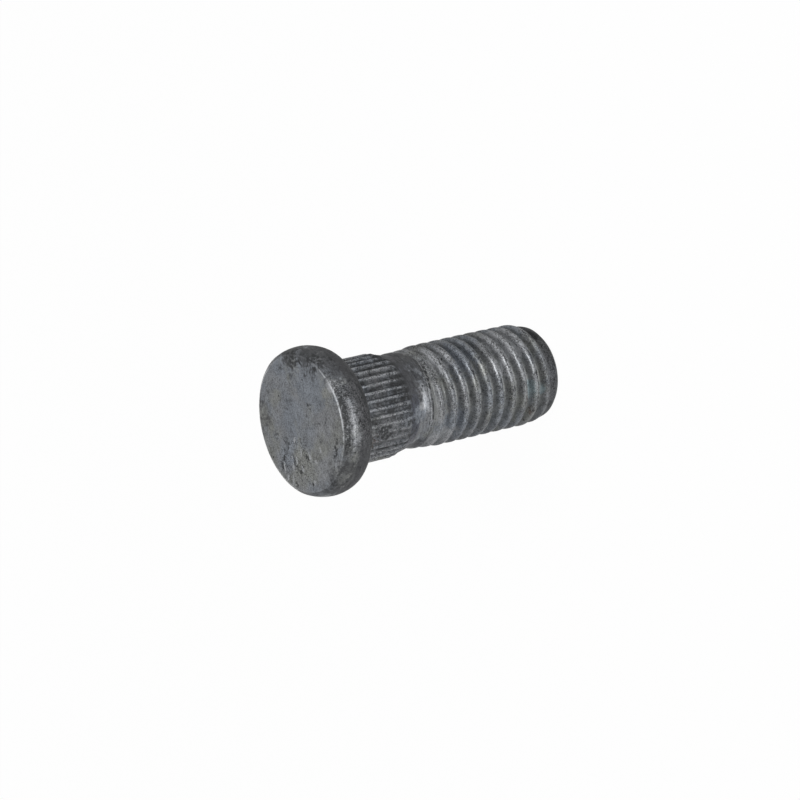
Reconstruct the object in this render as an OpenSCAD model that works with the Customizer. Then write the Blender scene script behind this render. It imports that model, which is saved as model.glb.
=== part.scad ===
// Press-in wheel stud, forged and rolled in one piece: a round flat head with a bulging
// rim, straight knurling under it, a plain neck and a coarse rolled thread with a tapered tip.
// Frame: the axis is Z, the tip's flat end lies at z = 0 and the head's face is on top.

/* [Overall] */
// Length over all, from the tip's end to the head's face
overall_length = 33.8; // [30:0.1:60]

/* [Head] */
// Largest diameter of the rim
head_diameter = 17.6; // [17.1:0.1:22]
// Thickness of the head, face to underside
head_thickness = 4.2; // [3.6:0.1:6]
// Diameter of the flat face
face_diameter = 15.9; // [14:0.1:16.2]
// Slope of the bevel round the face
face_bevel_angle = 32; // [20:1:50]
// Radius of the rim's bulge seen from the side
rim_bulge_radius = 4; // [3:0.1:6]
// Depth of the widest ring below the face
rim_crown_depth = 2; // [1.5:0.1:2.3]
// Radius of the round back edge
back_edge_radius = 1; // [0.4:0.1:1.2]
// Radius of the fillet between the head and the shank
head_fillet_radius = 0.25; // [0.15:0.05:0.45]

/* [Knurl] */
// Diameter over the ridges, which bite into the hub's hole
knurl_diameter = 12.3; // [12.2:0.05:13]
// Length of the full ridges, measured from the underside of the head
knurl_length = 6.7; // [4:0.1:9]
// Number of straight ridges round the shank
knurl_teeth = 39; // [30:1:48]
// Depth of the grooves between the ridges
knurl_depth = 0.3; // [0.2:0.05:0.6]
// Share of each tooth taken by its crest
crest_share = 0.26; // [0.24:0.02:0.4]
// Share of each tooth taken by the floor of its groove
floor_share = 0.4; // [0.1:0.02:0.4]
// Length of the chamfer at the end of the ridges
knurl_chamfer_length = 0.45; // [0.3:0.05:1.2]
// Turn of the ridges about the axis, in degrees
knurl_start_angle = 7.6; // [0:0.2:12]

/* [Thread] */
// Nominal size of the thread
thread_size = 12; // [11.6:0.05:12.2]
// Pitch of the thread
thread_pitch = 1.75; // [1.25:0.05:2]
// Length of the plain neck between the knurl and the first trace of rolling
neck_length = 1.1; // [0.8:0.1:4]
// Diameter of the neck where the ridges end
neck_diameter = 11.8; // [11.2:0.05:12]
// Slope of the neck, which narrows towards the thread
neck_taper_angle = 12; // [0:1:20]
// Height of the round swelling where the rolling dies out in the neck
swelling_height = 0.23; // [0.05:0.01:0.3]
// Distance from the start of the swelling to its crown
swelling_length = 1; // [0.6:0.1:1.5]
// Length over which the thread grows to its full form
run_out_length = 5.4; // [3:0.1:8]
// Turn of the whole thread about the axis, in degrees
thread_start_angle = 302; // [0:1:360]
// Length of the tapered tip
tip_taper_length = 2.5; // [1.6:0.1:4]
// Diameter of the flat end
tip_diameter = 10; // [9:0.1:10.4]
// Height of the small cone at the flat end's edge
tip_edge_height = 0.5; // [0.3:0.05:0.7]

/* [Hidden] */
$fn = 96;

steel = "#8d9298";
columns = 48;
ledge = 0.03;
spigot_length = 0.6;
spigot_radius = 4;

head_radius = head_diameter / 2;
head_underside = overall_length - head_thickness;
face_radius = face_diameter / 2;
bulge_radius = max(
    rim_bulge_radius,
    head_thickness - rim_crown_depth + 0.6,
    rim_crown_depth + 0.6
);
bulge_centre = [head_radius - bulge_radius, overall_length - rim_crown_depth];

knurl_radius = knurl_diameter / 2;
groove_radius = knurl_radius - knurl_depth;
fillet_radius = min(head_fillet_radius, knurl_depth - 0.05);
knurl_end = head_underside - knurl_length;
chamfer_end = knurl_end - knurl_chamfer_length;
tooth_angle = 360 / knurl_teeth;

// 60 degree thread with a small allowance, rolled on a blank of the pitch diameter
thread_allowance = 0.05;
crest_rounding = 0.07;
major_radius = (thread_size - thread_allowance) / 2;
blank_radius = thread_size / 2 - 0.3248 * thread_pitch;
minor_radius = thread_size / 2 - 0.5413 * thread_pitch;
root_radius = thread_size / 2 - 0.6134 * thread_pitch;
thread_top = chamfer_end - neck_length;
barrel_height = thread_top - tip_edge_height;
tip_radius = tip_diameter / 2;
tip_edge_radius = tip_radius + 0.9 * tip_edge_height;

// One turn of the thread's outline: where each point lies along the pitch, and its radius
outline_phase = [-0.085, 0, 0.085, 0.375, 0.5, 0.625];
outline_radius = [
    major_radius - crest_rounding,
    major_radius,
    major_radius - crest_rounding,
    minor_radius,
    root_radius,
    minor_radius
];
points_per_pitch = len(outline_phase);
first_row = -2 * points_per_pitch;
row_count = points_per_pitch * ceil(barrel_height / thread_pitch + 4);
last_row = first_row + row_count - 1 - points_per_pitch;
end_margin = 0.06 * thread_pitch;

// Radius of the tapered neck, which is never less than the blank
function neck(z) =
    max(blank_radius, neck_diameter / 2 - (chamfer_end - z) * tan(neck_taper_angle));

function clamped(x) = min(max(x, 0), 1);
function smooth(x) = let (t = clamped(x)) t * t * (3 - 2 * t);
function place_of(row) = row - floor(row / points_per_pitch) * points_per_pitch;

// Height of a point of the helical grid above the barrel's lower end: it climbs a pitch a turn
function grid_height(column, row) =
    let (turn = floor(row / points_per_pitch))
    let (start = thread_start_angle / 360)
    thread_pitch * (turn + outline_phase[place_of(row)] + column / columns - start + 1);

// The rolling dies out along a ring that leans as the thread does: its high side is where the
// first crest lies three quarters of a pitch below the neck. Below the ring the blank swells,
// then the grooves sink into it, and the crests rise later but are full sooner.
lean = thread_pitch / 3;
high_side = 360 * (barrel_height / thread_pitch - 0.75) + thread_start_angle;
groove_slowness = 1.3;
crest_lag = 0.22;
function drop(column, z) =
    thread_top - z - lean * (1 - cos(360 * column / columns - high_side));
function blank(column, z) =
    max(neck(z), blank_radius + swelling_height * smooth(drop(column, z) / swelling_length));
function rolled_share(z) = clamped((thread_top - swelling_length - lean / 2 - z) / run_out_length);
function growth(z, is_crest) =
    is_crest ?
    clamped((rolled_share(z) - crest_lag) / (1 - 2 * crest_lag)) :
    pow(rolled_share(z), groove_slowness);

// In the tip's taper the thread dies away again
function fade(z) = smooth((z - 0.35 * tip_taper_length) / (0.65 * tip_taper_length));
function taper_radius(z) =
    let (climb = clamped((z - tip_edge_height) / (tip_taper_length - tip_edge_height)))
    tip_edge_radius - ledge + (major_radius - tip_edge_radius + ledge) * climb;

function grid_radius(column, row, z) =
    let (start = blank(column, z))
    let (outline = outline_radius[place_of(row)])
    let (rolled = start + (outline - start) * growth(z, outline > start))
    let (cone = taper_radius(z))
    let (plain = min(cone, blank_radius + 0.1))
    min(cone, plain + (rolled - plain) * fade(z));

function below(column, row) = grid_height(column, row) < end_margin;
function above(column, row) = grid_height(column, row) > barrel_height - end_margin;

// Rows beyond the ends of the thread share the point of the end ring in their column
function grid_index(column, row) =
    below(column, row) ? column :
    above(column, row) ? columns + column :
    2 * columns + column * row_count + row - first_row;

// The last column meets the first one a whole pitch further up
function next_index(column, row) =
    column < columns - 1 ? grid_index(column + 1, row) : grid_index(0, row + points_per_pitch);

function ring_point(column, radius, z) =
    let (angle = 360 * column / columns)
    [radius * cos(angle), radius * sin(angle), z];

function grid_point(column, row) =
    let (z = tip_edge_height + clamped(grid_height(column, row) / barrel_height) * barrel_height)
    ring_point(column, grid_radius(column, row, z), z);

function is_face(f) = f[0] != f[1] && f[1] != f[2] && f[2] != f[0];

module rolled_thread() {
    neck_ring = neck(thread_top) / cos(180 / columns) + ledge;
    points = concat(
        [for (c = [0 : columns - 1]) ring_point(c, tip_edge_radius - ledge, tip_edge_height)],
        [for (c = [0 : columns - 1]) ring_point(c, neck_ring, thread_top)],
        [for (c = [0 : columns - 1]) for (r = [0 : row_count - 1]) grid_point(c, r + first_row)]
    );
    sides = [
        for (c = [0 : columns - 1])
        for (r = [first_row : last_row])
        let (a = grid_index(c, r))
        let (b = next_index(c, r))
        let (d = next_index(c, r + 1))
        let (e = grid_index(c, r + 1))
        for (f = [[a, e, b], [b, e, d]])
        if (is_face(f)) f
    ];
    ends = [
        [for (c = [0 : columns - 1]) c],
        [for (c = [0 : columns - 1]) 2 * columns - 1 - c]
    ];
    polyhedron(points, concat(sides, ends), convexity = 10);
}

// Half section of the head: the rim is an arc, and a smaller arc rounds its back edge
module head_section() {
    reach = bulge_radius - back_edge_radius;
    drop = bulge_centre[1] - head_underside - back_edge_radius;
    edge_x = bulge_centre[0] + sqrt(reach * reach - drop * drop);
    contact_z = bulge_centre[1] - drop * bulge_radius / reach;
    beyond = 3;
    intersection() {
        union() {
            translate(bulge_centre) circle(r = bulge_radius);
            square([bulge_centre[0], overall_length]);
        }
        union() {
            translate([0, contact_z]) square([head_radius, overall_length - contact_z]);
            translate([0, head_underside]) square([edge_x, head_thickness]);
            translate([edge_x, head_underside + back_edge_radius]) circle(r = back_edge_radius);
        }
        polygon([
            [0, head_underside],
            [face_radius + beyond, head_underside],
            [face_radius + beyond, overall_length - beyond * tan(face_bevel_angle)],
            [face_radius, overall_length],
            [0, overall_length]
        ]);
    }
}

// Half section of the shank above the thread: neck, chamfer and the seat the grooves cut into
module shank_section() {
    polygon([
        [0, thread_top - spigot_length],
        [spigot_radius, thread_top - spigot_length],
        [spigot_radius, thread_top],
        [neck(thread_top), thread_top],
        [neck(chamfer_end), chamfer_end],
        [knurl_radius, knurl_end],
        [knurl_radius, head_underside + 1],
        [0, head_underside + 1]
    ]);
}

// Half section of what the grooves take away: their floor curves out under the head
module groove_section() {
    lead = 0.3;
    difference() {
        translate([groove_radius, chamfer_end - lead])
            square([knurl_depth + 1, head_underside - chamfer_end + lead]);
        translate([groove_radius - 1, head_underside - fillet_radius])
            difference() {
                square([1 + fillet_radius, 1]);
                translate([1 + fillet_radius, 0]) circle(r = fillet_radius);
            }
    }
}

// Cross-section of the ridges, drawn past their crests, which the seat's own surface trims
module ridge_outline() {
    inner = groove_radius - 0.2;
    outer = knurl_radius + 0.3;
    flank = (1 - crest_share - floor_share) / 2 * tooth_angle / knurl_depth;
    crest_half = crest_share / 2 * tooth_angle;
    inner_half = crest_half + flank * (knurl_radius - inner);
    outer_half = max(crest_half - flank * (outer - knurl_radius), 0.1);
    polygon([
        for (k = [0 : knurl_teeth - 1])
        for (p = [
            [inner, -inner_half],
            [outer, -outer_half],
            [outer, outer_half],
            [inner, inner_half]
        ])
        let (angle = knurl_start_angle + k * tooth_angle + p[1])
        [p[0] * cos(angle), p[0] * sin(angle)]
    ]);
}

module grooves() {
    intersection() {
        rotate_extrude() groove_section();
        translate([0, 0, chamfer_end - 1])
            linear_extrude(height = head_underside + 2 - chamfer_end)
                difference() {
                    circle(r = knurl_radius + 0.25);
                    ridge_outline();
                }
    }
}

module head_and_shank() {
    difference() {
        rotate_extrude() {
            head_section();
            shank_section();
        }
        grooves();
    }
}

module tip_end() {
    cylinder(h = tip_edge_height, r1 = tip_radius, r2 = tip_edge_radius);
    cylinder(h = tip_edge_height + spigot_length, r = spigot_radius);
}

module wheel_stud() {
    color(steel)
        union() {
            head_and_shank();
            rolled_thread();
            tip_end();
        }
}

wheel_stud();
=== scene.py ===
import math
from types import SimpleNamespace

import bpy
import numpy as np
from mathutils import Matrix, Vector


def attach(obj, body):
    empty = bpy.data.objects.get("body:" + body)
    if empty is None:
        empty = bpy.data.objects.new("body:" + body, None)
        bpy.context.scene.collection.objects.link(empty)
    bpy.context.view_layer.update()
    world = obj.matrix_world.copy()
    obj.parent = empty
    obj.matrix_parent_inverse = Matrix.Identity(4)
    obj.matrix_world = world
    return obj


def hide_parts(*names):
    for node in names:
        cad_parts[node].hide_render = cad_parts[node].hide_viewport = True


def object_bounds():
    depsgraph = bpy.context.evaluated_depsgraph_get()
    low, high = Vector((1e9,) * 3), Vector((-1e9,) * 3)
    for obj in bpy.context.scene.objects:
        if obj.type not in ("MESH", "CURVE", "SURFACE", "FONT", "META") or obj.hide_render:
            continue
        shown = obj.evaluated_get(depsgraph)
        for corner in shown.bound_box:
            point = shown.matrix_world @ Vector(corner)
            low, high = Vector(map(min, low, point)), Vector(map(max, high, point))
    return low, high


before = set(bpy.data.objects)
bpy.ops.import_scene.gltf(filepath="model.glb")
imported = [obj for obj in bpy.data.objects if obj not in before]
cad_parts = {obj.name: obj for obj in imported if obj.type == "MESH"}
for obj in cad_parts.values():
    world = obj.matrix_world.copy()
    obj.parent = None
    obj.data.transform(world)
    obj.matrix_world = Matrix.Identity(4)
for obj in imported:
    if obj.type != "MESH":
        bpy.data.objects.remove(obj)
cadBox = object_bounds()
print("frame loaded", [round(1000 * side, 2) for side in cadBox[1] - cadBox[0]], "mm")

mm = 0.001
turn = 2 * math.pi
studLength = cadBox[1].z / mm
headRadius = cadBox[1].x / mm


def addNode(tree, kind, inputs=None, **options):
    node = tree.nodes.new(kind)
    for name, value in options.items():
        setattr(node, name, value)
    for key, value in (inputs or {}).items():
        feed(tree, node.inputs[key], value)
    return node


def feed(tree, socket, value):
    # a value is either another node's output or a plain number, vector or colour
    if isinstance(value, bpy.types.NodeSocket):
        tree.links.new(value, socket)
    else:
        socket.default_value = value


def calc(tree, operation, *values):
    node = tree.nodes.new("ShaderNodeMath")
    node.operation = operation
    for socket, value in zip(node.inputs, values):
        feed(tree, socket, value)
    return node.outputs[0]


def vectorCalc(tree, operation, inputs):
    return addNode(tree, "ShaderNodeVectorMath", inputs, operation=operation).outputs


def ramp(tree, value, low, high, toLow=0.0, toHigh=1.0, kind="SMOOTHSTEP"):
    # a smooth step keeps within its ends by itself; Cycles adds a node for each clamp, and with
    # too many of them it has no room left for the material and paints it black
    node = addNode(tree, "ShaderNodeMapRange", interpolation_type=kind, clamp=kind == "LINEAR")
    for key, number in zip(range(5), (value, low, high, toLow, toHigh)):
        feed(tree, node.inputs[key], number)
    return node.outputs[0]


def between(tree, share, atNone, atFull):
    return ramp(tree, share, 0.0, 1.0, atNone, atFull)


def chain(tree, operation, *values):
    result = values[0]
    for value in values[1:]:
        result = calc(tree, operation, result, value)
    return result


def product(tree, *values):
    return chain(tree, "MULTIPLY", *values)


def total(tree, *values):
    return chain(tree, "ADD", *values)


def most(tree, *values):
    return chain(tree, "MAXIMUM", *values)


def less(tree, value, taken):
    return calc(tree, "SUBTRACT", value, taken)


def ratio(tree, value, whole):
    return calc(tree, "DIVIDE", value, whole)


def unsigned(tree, value):
    return calc(tree, "ABSOLUTE", value)


def wrapped(tree, value, low):
    # brings a value into the span of 1 that starts at low
    return calc(tree, "WRAP", value, low + 1, low)


def putInScene(thing):
    bpy.context.scene.collection.objects.link(thing)


# Camera and light

cameraView = {
    "aim": (0.1, 0.0, 19.5),  # mm, a little above the middle of the stud
    "distance": 508.4,
    "elevation": 35.93,
    "roll": -102.95,  # the stud's axis lies across the picture
    "lens": 198.2,
    "sensor": 36.0,
    "clip": (0.01, 10.0),  # m
}


def placeCamera(view):
    data = bpy.data.cameras.new("camera")
    data.lens = view["lens"]
    data.sensor_width = view["sensor"]
    data.clip_start, data.clip_end = view["clip"]
    camera = bpy.data.objects.new("camera", data)
    putInScene(camera)
    tilt = Matrix.Rotation(math.radians(90 - view["elevation"]), 4, "X")
    roll = Matrix.Rotation(math.radians(view["roll"]), 4, "Z")
    back = (tilt @ Vector((0, 0, 1))) * view["distance"]
    place = Matrix.Translation((Vector(view["aim"]) + back) * mm)
    camera.matrix_world = place @ tilt @ roll
    bpy.context.scene.camera = camera


# mm and degrees; azimuth 180 is the camera's side. The two low lamps stay below the plane of
# the head's face, so the face never mirrors them
lamps = {
    "keyLamp": {"azimuth": 192, "height": 17, "away": 150, "size": (120, 31), "power": 0.17},
    "highLamp": {"azimuth": 180, "height": 420, "away": 130, "size": (130, 130), "power": 0.66},
    "sideLamp": {"azimuth": 138, "height": 420, "away": 140, "size": (110, 110), "power": 0.84},
    "backLamp": {"azimuth": 0, "height": 17, "away": 200, "size": (120, 31), "power": 0.08},
}
lampAim = (0, 0, 20)


def addLamp(name, lamp):
    data = bpy.data.lights.new(name, "AREA")
    data.shape = "RECTANGLE"
    data.size, data.size_y = (side * mm for side in lamp["size"])
    data.energy = lamp["power"]
    around = math.radians(lamp["azimuth"])
    away = lamp["away"]
    place = Vector((math.sin(around) * away, math.cos(around) * away, lamp["height"]))
    light = bpy.data.objects.new(name, data)
    light.location = place * mm
    light.rotation_euler = (place - Vector(lampAim)).to_track_quat("Z", "Y").to_euler()
    putInScene(light)


surround = {"worldLevel": 0.05, "floorSize": 1600, "floorAlbedo": 0.6, "whiteShare": 0.98}
white = (1, 1, 1, 1)


def seenDirectly(tree):
    # camera, mirrored and refracted rays see the same plain white
    path = tree.nodes.new("ShaderNodeLightPath")
    rays = ("Is Camera Ray", "Is Glossy Ray", "Is Transmission Ray")
    return most(tree, *(path.outputs[ray] for ray in rays))


def paintWorld(world):
    tree = world.node_tree
    tree.nodes.clear()
    level = ramp(tree, seenDirectly(tree), 0.0, 1.0, surround["worldLevel"], 1.0, "LINEAR")
    sky = addNode(tree, "ShaderNodeBackground", {"Color": white, "Strength": level})
    out = addNode(tree, "ShaderNodeOutputWorld")
    tree.links.new(sky.outputs[0], out.inputs["Surface"])


def floorMaterial():
    material = bpy.data.materials.new("paleFloor")
    material.use_nodes = True
    tree = material.node_tree
    tree.nodes.clear()
    pale = surround["floorAlbedo"]
    paper = addNode(tree, "ShaderNodeBsdfDiffuse", {"Color": (pale, pale, pale, 1)})
    glow = addNode(tree, "ShaderNodeEmission", {"Color": white, "Strength": 1.0})
    share = product(tree, seenDirectly(tree), surround["whiteShare"])
    mix = addNode(tree, "ShaderNodeMixShader", {0: share, 1: paper.outputs[0], 2: glow.outputs[0]})
    out = addNode(tree, "ShaderNodeOutputMaterial")
    tree.links.new(mix.outputs[0], out.inputs["Surface"])
    return material


def layFloor():
    half = surround["floorSize"] / 2 * mm
    corners = [(-half, -half, 0), (half, -half, 0), (half, half, 0), (-half, half, 0)]
    mesh = bpy.data.meshes.new("floor")
    mesh.from_pydata(corners, [], [(0, 1, 2, 3)])
    mesh.materials.append(floorMaterial())
    floor = bpy.data.objects.new("floor", mesh)
    putInScene(floor)


bpy.context.scene.view_settings.view_transform = "Standard"
bpy.context.scene.world = bpy.data.worlds.new("studio")
bpy.context.scene.world.use_nodes = True
paintWorld(bpy.context.scene.world)
placeCamera(cameraView)
for lampName, lampSettings in lamps.items():
    addLamp(lampName, lampSettings)
layFloor()
print("camera, lamps and floor placed")


# The turned blank, in mm: a grid of columns round the axis and rows along the half section

blank = {
    "columns": 312,  # eight for each knurl ridge
    "faceRadius": 7.95,
    "faceRings": 34,
    "faceSpacing": 0.85,  # below 1 the outer rings lie closer
    "faceEdge": 0.1,
    "bevelAngle": 32,
    "bulgeRadius": 4.0,
    "crownDepth": 2.0,
    "headThickness": 4.2,
    "backEdge": 1.0,
    "seatRadius": 6.15,
    "seatLength": 6.7,
    "seatRoot": 0.05,  # the underside's last ring keeps off the knurl by this much
    "seatFoot": 0.4,  # rows lie closer over this length, where the knurl ends
    "seatCorner": (0.03, 0.05),  # the easing of the seat's lower edge: inwards and upwards
    "seatChamfer": 0.45,
    "neckRadius": 5.9,
    "neckTaper": 12,
    "neckLength": 1.1,
    "blankRadius": 5.432,
    "tipRadius": 5.0,
    "tipRound": (0.05, 0.04),  # outwards and upwards from the corner of the flat end
    "tipCorner": 5.45,
    "tipEdge": 0.5,
    "tipTaper": 2.5,
}
rowCounts = {
    "faceEdge": 4, "bevel": 5, "bulge": 26, "backEdge": 9, "underside": 5, "fillet": 4,
    "seat": 17, "seatFoot": 3, "chamfer": 6, "neck": 7, "tipEdge": 3, "tipEnd": 8,
}
# the thread's rows, as shares of the pitch from the crest
rowsInPitch = (
    -0.42, -0.34, -0.26, -0.18, -0.11, -0.07, -0.035, 0,
    0.035, 0.07, 0.11, 0.18, 0.26, 0.34, 0.42, 0.5,
)
seatTop = studLength - blank["headThickness"]
seatEnd = seatTop - blank["seatLength"]
chamferEnd = seatEnd - blank["seatChamfer"]
neckSlope = math.tan(math.radians(blank["neckTaper"]))
thread = {
    # the inputs of the tree that rolls it
    "Pitch": 1.75,
    "Crest radius": 5.975,
    "Root radius": 4.927,
    "Blank radius": blank["blankRadius"],
    "Start": 302 / 360,
    "Top": chamferEnd - blank["neckLength"],
    "Lean": 1.75 / 3,  # the rolling dies out along a leaning ring
    "High side": 1.1 / 360,
    "Swelling height": 0.27,
    "Swelling length": 1.2,
    "Crest start": 1.3,
    "Crest run-out": 5.4,
    "Crest lag": 0.22,
    "Groove start": 1.8,
    "Groove run-out": 3.2,
    "Lip height": 0.05,
    "Tip corner": blank["tipCorner"],
    "Tip edge": blank["tipEdge"],
    "Tip taper": blank["tipTaper"],
    "Seam depth": 0.035,
    "Waver": 0.03,
}
threadForm = {
    "section": ((0.14, 0.0), (0.2, 0.05), (0.76, 0.93)),  # from crest to root: place, depth
    "neckBlend": 0.08,  # mm
    "lipPath": (0.15, 0.8, 0.26, 0.06),  # shares of the run-out, then pitches from the crest
    "lipWidth": 0.09,
    "lipStart": (0.05, 0.25),
    "seamWidth": 0.05,
    "waverScale": 1.1,
    "waverSeed": 5.0,
    "tipFade": 0.3,  # the grooves start at this share of the tip's taper
    "tipBlank": 0.1,  # the tip is this much fatter than the blank
    "slack": 0.001,
    "started": 0.2,
    # where the finish is worn or dull, and where highlight and shade are painted, in pitches from
    # the crest
    "upperShine": (0.09, 0.08, 0.03),
    "lowerShine": (-0.09, 0.06, 0.02),
    "lowerShare": 0.5,
    "shineStart": 0.4,
    "seamStripe": (0.045, 0.02),
    # painted shadow on the groove floor and painted light on the groove's sides, fading out
    # towards the head between the two heights in mm
    "floorStripe": (-0.6, 0.17, 0.05),
    "paintedFloorShadow": -0.45,
    "paintedGrooveLight": (-0.25, 0.75),
    "paintedShadeHeights": (19.0, 17.5),
}
knurl = {
    # the inputs of the tree that presses it
    "Ridges": 39,
    "Depth": 0.3,
    "Crest share": 0.24,
    "Floor share": 0.4,
    "Start": 7.6 / 360,
    "Top": seatTop,
    "End": chamferEnd - 0.4,
    "Fillet": 0.25,
    "Waver": 0.05,
    "Battered from": -0.405,  # shares of a turn: here the ridges are rubbed down and clogged
    "Battered to": -0.32,
}
knurlForm = {
    "waverScale": 1.3,
    "waverSeed": 3.0,
    "batteredSoft": 0.02,
    "batteredDepth": 0.6,  # the share of the depth that is left there
    "batteredMarks": 0.55,  # the share of dirt and shine that is gone there
    "ridgeStripe": (0.3, 0.1),
    "slack": (0.001, 0.01),
}


def arc(centre, radius, start, end, count):
    # points from one angle to the other in degrees, both ends included
    angles = [math.radians(start + (end - start) * step / (count - 1)) for step in range(count)]
    return [(centre[0] + radius * math.cos(a), centre[1] + radius * math.sin(a)) for a in angles]


def line(start, end, count):
    # points along a straight stretch, without its first one
    numbers = range(1, count + 1)
    return [tuple(a + (b - a) * step / count for a, b in zip(start, end)) for step in numbers]


def headSection():
    top = studLength
    edge = blank["faceEdge"]
    bulge = blank["bulgeRadius"]
    backEdge = blank["backEdge"]
    slope = math.radians(blank["bevelAngle"])
    corner = (blank["faceRadius"], top)
    rings = blank["faceRings"]
    faceEnd = corner[0] - edge * math.tan(slope / 2)
    spacing = blank["faceSpacing"]
    section = [(faceEnd * (step / rings) ** spacing, top) for step in range(1, rings)]
    edgeEnd = 90 - blank["bevelAngle"]
    section += arc((faceEnd, top - edge), edge, 90, edgeEnd, rowCounts["faceEdge"])
    centre = (headRadius - bulge, top - blank["crownDepth"])
    # where the bevel's line meets the bulge
    away = Vector((math.cos(slope), -math.sin(slope)))
    gap = Vector(corner) - Vector(centre)
    inwards = gap.dot(away)
    along = -inwards + math.sqrt(inwards ** 2 - gap.length_squared + bulge ** 2)
    meet = Vector(corner) + away * along
    section += line(section[-1], tuple(meet), rowCounts["bevel"])[:-1]
    reach = bulge - backEdge
    drop = centre[1] - seatTop - backEdge
    backCentre = (centre[0] + math.sqrt(reach ** 2 - drop ** 2), seatTop + backEdge)
    bulgeStart = math.degrees(math.atan2(meet.y - centre[1], meet.x - centre[0]))
    bulgeEnd = -math.degrees(math.asin(drop / reach))
    section += arc(centre, bulge, bulgeStart, bulgeEnd, rowCounts["bulge"])
    section += arc(backCentre, backEdge, bulgeEnd, -90, rowCounts["backEdge"])[1:]
    return section


def shankSection(start):
    seat = blank["seatRadius"]
    inwards, upwards = blank["seatCorner"]
    root = (seat, seatTop)
    fillet = (seat, seatTop - knurl["Fillet"])
    foot = (seat, seatEnd + blank["seatFoot"])
    shoulder = (seat - inwards, seatEnd + upwards)
    neck = (blank["neckRadius"], chamferEnd)
    neckFoot = (neck[0] - blank["neckLength"] * neckSlope, thread["Top"])
    section = line(start, (seat + blank["seatRoot"], seatTop), rowCounts["underside"])
    section += line(root, fillet, rowCounts["fillet"])
    section += line(fillet, foot, rowCounts["seat"])
    section += line(foot, shoulder, rowCounts["seatFoot"])
    section += line(shoulder, neck, rowCounts["chamfer"])
    section += line(neck, neckFoot, rowCounts["neck"])
    return section


def tipSection():
    flat = blank["tipRadius"]
    outwards, upwards = blank["tipRound"]
    start = (blank["tipCorner"], blank["tipEdge"])
    section = [start] + line(start, (flat + outwards, upwards), rowCounts["tipEdge"])
    section += [(flat, 0.0)]
    section += line((flat, 0.0), (0.0, 0.0), rowCounts["tipEnd"])[:-1]
    return section


def ringPoints(section):
    # one ring for each point of the section, as an array of rings, columns and coordinates
    around = np.arange(blank["columns"]) * turn / blank["columns"]
    radius, height = (np.array(side)[:, None] for side in zip(*section))
    return np.stack([radius * np.cos(around), radius * np.sin(around), height + 0 * around], 2)


def threadRows():
    # rows that climb with the thread, so that its crest runs along edges; those past the ends
    # are left out later
    columns = blank["columns"]
    bottom = blank["tipEdge"]
    tall = thread["Top"] - bottom
    spareTurns = 3
    turns = math.ceil(tall / thread["Pitch"]) + spareTurns
    share = np.arange(columns) / columns
    rows = []
    for rowTurn in range(turns, -spareTurns, -1):
        for phase in reversed(rowsInPitch):
            rows.append((rowTurn + phase + share - thread["Start"]) * thread["Pitch"])
    heights = np.array(rows)
    margin = 0.06  # no row comes closer to the ends, where its faces would be slivers
    inside = (heights > margin) & (heights < tall - margin)
    around = share * turn
    sides = [np.cos(around) + 0 * heights, np.sin(around) + 0 * heights, heights + bottom]
    points = np.stack(sides, 2)
    points[..., :2] *= thread["Crest radius"]
    return points, inside, heights >= tall - margin


def blankMesh():
    columns = blank["columns"]
    perTurn = len(rowsInPitch)
    upper = headSection()
    upper += shankSection(upper[-1])
    upperRings = ringPoints(upper)
    lowerRings = ringPoints(tipSection())
    climbing, inside, above = threadRows()
    count = 1 + len(upperRings) * columns
    upperIndex = 1 + np.arange(len(upperRings) * columns).reshape(-1, columns)
    lowerIndex = count + np.arange(len(lowerRings) * columns).reshape(-1, columns)
    count += len(lowerRings) * columns
    climbIndex = np.where(above, upperIndex[-1], lowerIndex[0])
    climbIndex[inside] = count + np.arange(inside.sum())
    count += inside.sum()
    points = np.concatenate([
        [(0, 0, studLength)],
        upperRings.reshape(-1, 3),
        lowerRings.reshape(-1, 3),
        climbing[inside],
        [(0, 0, 0)],
    ])
    faces = [(0, a, b) for a, b in zip(upperIndex[0], np.roll(upperIndex[0], -1))]
    for grid in (upperIndex, lowerIndex):
        for high, low in zip(grid[:-1], grid[1:]):
            faces += list(zip(high, low, np.roll(low, -1), np.roll(high, -1)))
    # the last column of the thread meets the first one a whole turn away
    onward = np.roll(climbIndex, -1, axis=1)
    onward[perTurn:, -1] = climbIndex[:-perTurn, 0]
    for row in range(perTurn, len(climbIndex) - 1):
        faces += list(zip(climbIndex[row], climbIndex[row + 1], onward[row + 1], onward[row]))
    last = lowerIndex[-1]
    faces += [(count, b, a) for a, b in zip(last, np.roll(last, -1))]
    # faces past the thread's ends have fallen together
    trimmed = []
    for face in faces:
        corners = [int(index) for place, index in enumerate(face) if index != face[place - 1]]
        if len(set(corners)) > 2:
            trimmed.append(corners)
    mesh = bpy.data.meshes.new("wheelStud")
    mesh.from_pydata([tuple(point) for point in points], [], trimmed)
    mesh.update()
    return mesh


def newTree(name, sizes):
    tree = bpy.data.node_groups.new(name, "GeometryNodeTree")
    for direction in ("INPUT", "OUTPUT"):
        tree.interface.new_socket(
            "Geometry", in_out=direction, socket_type="NodeSocketGeometry"
        )
    for label, value in sizes.items():
        kind = "NodeSocketInt" if isinstance(value, int) else "NodeSocketFloat"
        tree.interface.new_socket(label, in_out="INPUT", socket_type=kind)
    entry = tree.nodes.new("NodeGroupInput")
    return tree, entry.outputs


def closeTree(tree, geometry, material):
    real = addNode(tree, "GeometryNodeRealizeInstances", {"Geometry": geometry})
    inputs = {"Geometry": real.outputs[0], "Material": material}
    painted = addNode(tree, "GeometryNodeSetMaterial", inputs)
    end = tree.nodes.new("NodeGroupOutput")
    tree.links.new(painted.outputs[0], end.inputs[0])


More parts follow.
